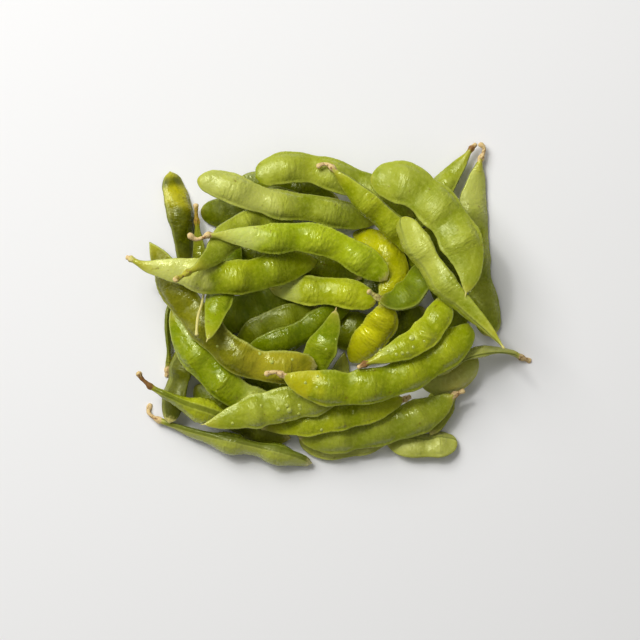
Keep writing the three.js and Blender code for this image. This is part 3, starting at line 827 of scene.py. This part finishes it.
def surface_spot(skin, x, y):
    """The spot on the skin's upper side nearest to a place seen from above, and the way out."""
    points = skin.points
    aloft = points[..., 2] > points[..., 2].mean(axis=1)[:, None]
    apart = np.hypot(points[..., 0] - x, points[..., 1] - y)
    row, corner = np.unravel_index(np.argmin(np.where(aloft, apart, np.inf)), apart.shape)
    row = int(np.clip(row, SLOPE_ROWS, len(points) - 1 - SLOPE_ROWS))
    ahead = points[row + SLOPE_ROWS, corner] - points[row - SLOPE_ROWS, corner]
    around = points[row, (corner + SLOPE_ROWS) % AROUND] - points[row, corner - SLOPE_ROWS]
    out = np.cross(ahead, around)
    out *= np.sign(out[2]) / np.linalg.norm(out)
    return points[row, corner], out


def dome(spot, out, radius):
    """The rings of points of a flattened dome on the spot, from its foot up, and its top."""
    side = np.cross(out, (0.0, 1.0, 0.0))
    side /= np.linalg.norm(side)
    other = np.cross(out, side)
    turn = 2 * np.pi * np.arange(DROP_SIDES) / DROP_SIDES
    ways = side * np.cos(turn)[:, None] + other * np.sin(turn)[:, None]
    lean = 0.5 * np.pi * (1 - np.arange(DROP_RINGS) / DROP_RINGS)
    reach = radius * np.sin(lean)[:, None, None]
    rise = radius * DROP_FLATNESS * np.cos(lean)[:, None, None] - DROP_SINK
    top = spot + (radius * DROP_FLATNESS - DROP_SINK) * out
    return spot + reach * ways + rise * out, top


def drops_mesh(name, skin, drops):
    """Drops of water, sunk a little in the skin."""
    points, faces = [], []
    for x, y, radius in drops:
        rings, top = dome(*surface_spot(skin, x * MM, y * MM), radius * MM)
        numbers = len(points) + np.arange(DROP_RINGS * DROP_SIDES).reshape(DROP_RINGS, DROP_SIDES)
        points += [*rings.reshape(-1, 3).tolist(), top.tolist()]
        faces += [*wall(numbers), *fan(numbers[-1], len(points) - 1), numbers[0][::-1].tolist()]
    return smooth_mesh(name, points, faces)


def string_mesh(name, below):
    """A thin round string that lies on the skins below it."""
    knots = []
    for x, y, radius in STRING_MM:
        height = max(surface_spot(skin, x * MM, y * MM)[0][2] for skin in below)
        knots.append((x * MM, y * MM, height + STRING_LIFT * radius * MM, radius * MM))
    knots = np.array(knots)
    rows = hermite(np.linspace(0, len(knots) - 1, STRING_ROWS), np.arange(len(knots)), knots)
    ahead = np.gradient(rows[:, :3], axis=0)
    ahead /= np.linalg.norm(ahead, axis=1)[:, None]
    side = np.cross(ahead, (0.0, 0.0, 1.0))
    side /= np.linalg.norm(side, axis=1)[:, None]
    up = np.cross(side, ahead)
    turn = 2 * np.pi * np.arange(STRING_SIDES) / STRING_SIDES
    ways = side[:, None] * np.cos(turn)[:, None] + up[:, None] * np.sin(turn)[:, None]
    points = rows[:, None, :3] + rows[:, None, 3:] * ways
    rings = np.arange(STRING_ROWS * STRING_SIDES).reshape(STRING_ROWS, STRING_SIDES)
    ends = [rings[0].tolist(), rings[-1][::-1].tolist()]
    return smooth_mesh(name, points.reshape(-1, 3).tolist(), [*wall(rings[::-1]), *ends])


# ---------------------------------------------------------------- stage, light and camera

VIEW_CENTRE = (-0.004, -0.0056)  # what lies in the middle of the picture
VIEW_WIDTH = 0.2304  # seen across the picture, at the heap's own height
HEAP_HEIGHT = 0.012
CAMERA_HEIGHT = 0.95
SENSOR_MM = 36
FLOOR_REACH = 3.0
WORLD_STRENGTH = 0.12


def add_floor():
    """A pale matt ground, much wider than the picture."""
    mesh = bpy.data.meshes.new("floor")
    corners = [(x * FLOOR_REACH, y * FLOOR_REACH, 0) for x, y in ((-1, -1), (1, -1), (1, 1), (-1, 1))]
    mesh.from_pydata(corners, [], [(0, 1, 2, 3)])
    floor = bpy.data.objects.new("floor", mesh)
    bpy.context.scene.collection.objects.link(floor)
    mesh.materials.append(plain_material("floor", FLOOR, roughness=0.8))


def add_light(name, place, size, power, glints=True):
    """A round lamp aimed at the middle of the ground; without glints, no reflection shows it."""
    data = bpy.data.lights.new(name, "AREA")
    data.shape = "DISK"
    data.size = size
    data.energy = power
    light = bpy.data.objects.new(name, data)
    light.location = place
    light.rotation_euler = (-Vector(place)).to_track_quat("-Z", "Y").to_euler()
    light.visible_glossy = glints
    bpy.context.scene.collection.objects.link(light)


def add_studio():
    """A soft key from beyond the heap, a small lamp beside it for glints, and a dim sky."""
    add_light("key", (-0.5, 0.62, 0.95), size=0.9, power=15)
    add_light("spark", (-0.42, 0.5, 1.1), size=0.12, power=2.8)
    add_light("ceiling", (0, 0, 1.7), size=2.4, power=6, glints=False)
    world = bpy.data.worlds.new("studio")
    world.use_nodes = True
    sky = world.node_tree.nodes["Background"]
    sky.inputs["Color"].default_value = (1, 1, 1, 1)
    sky.inputs["Strength"].default_value = WORLD_STRENGTH
    bpy.context.scene.world = world
    bpy.context.scene.view_settings.view_transform = "Standard"


def add_camera():
    """A camera straight above the heap, with the picture's width at the heap's height."""
    data = bpy.data.cameras.new("camera")
    data.sensor_width = SENSOR_MM
    data.lens = SENSOR_MM * (CAMERA_HEIGHT - HEAP_HEIGHT) / VIEW_WIDTH
    camera = bpy.data.objects.new("camera", data)
    camera.location = (*VIEW_CENTRE, CAMERA_HEIGHT)
    bpy.context.scene.collection.objects.link(camera)
    bpy.context.scene.camera = camera


add_camera()
add_studio()
add_floor()
slots = {subpart["node"]: subpart["material_slot"] for subpart in frame["record"]["subparts"]}
skins = {node: dress(node, slot, seed) for seed, (node, slot) in enumerate(slots.items())}
water = plain_material("water", WATER, roughness=0.05)
for node, drops in DROPS_MM.items():
    name = f"{node}_drops"
    add_piece(name, drops_mesh(name, skins[node], drops), water)
string = string_mesh("pod_35_string", [skins["pod_32"], skins["pod_35"]])
add_piece("pod_35_string", string, plain_material("string", BEAK, roughness=0.35))
